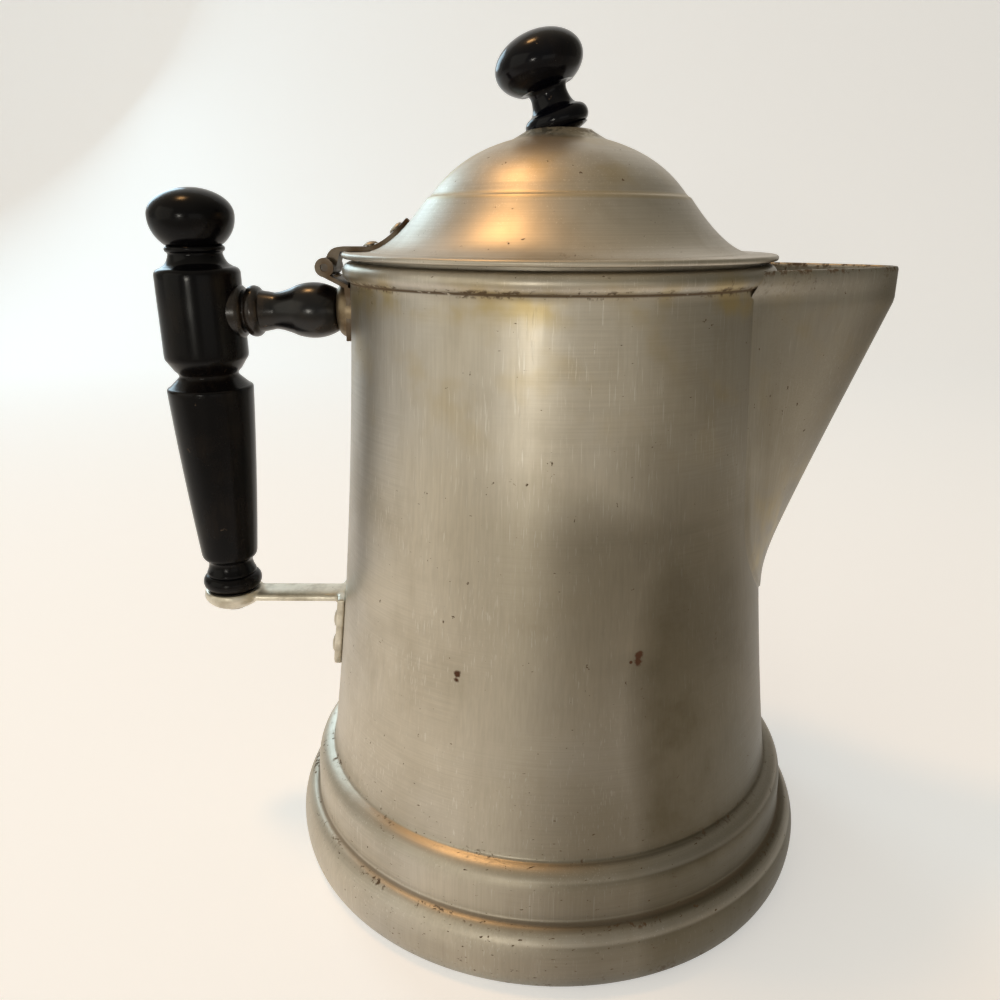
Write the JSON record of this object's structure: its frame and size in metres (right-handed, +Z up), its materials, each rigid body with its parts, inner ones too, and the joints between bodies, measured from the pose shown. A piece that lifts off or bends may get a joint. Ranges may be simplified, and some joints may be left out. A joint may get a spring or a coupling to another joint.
{
  "type": "coffee pot",
  "caption": "Flared aluminium stove-top coffee pot with a beak spout, a hinged domed lid with a leaning black knob, and a turned black wooden side handle.",
  "frame": {"origin": "centre of the flat bottom", "axes": "+Z up along the pot's axis, +X towards the spout, the handle at -X"},
  "size_m": [0.2036, 0.1548, 0.2306],
  "materials": {
    "spun_aluminium": "aged satin, fine scratches",
    "cast_aluminium": "brighter worn satin",
    "hinge_aluminium": "dark, dirty satin",
    "black_wood": "ebonised, semi-gloss",
    "steel": "dull grey"
  },
  "bodies": {
    "pot": {"pot_body": "spun_aluminium", "spout": "spun_aluminium", "spout_strainer": "spun_aluminium", "body_hinge_leaf": "hinge_aluminium", "hinge_pin": "steel", "handle_boss": "hinge_aluminium", "strut_stud": "steel", "stud_washer": "steel", "stud_nut": "steel", "handle_strut": "black_wood", "handle_grip": "black_wood", "handle_bracket": "cast_aluminium", "bracket_rivets": "cast_aluminium", "grip_screw": "steel"},
    "lid": {"lid": "spun_aluminium", "lid_hinge_leaf": "hinge_aluminium", "lid_hinge_rivets": "cast_aluminium", "lid_knob": "black_wood", "knob_screw": "steel", "knob_washer": "spun_aluminium"}
  },
  "joints": [
    {"name": "lid_hinge", "type": "hinge", "parent": "pot", "child": "lid", "pos_m": [-0.0623, 0, 0.1717], "axis": [0, -1, 0], "range_deg": [0, 105]}
  ]
}
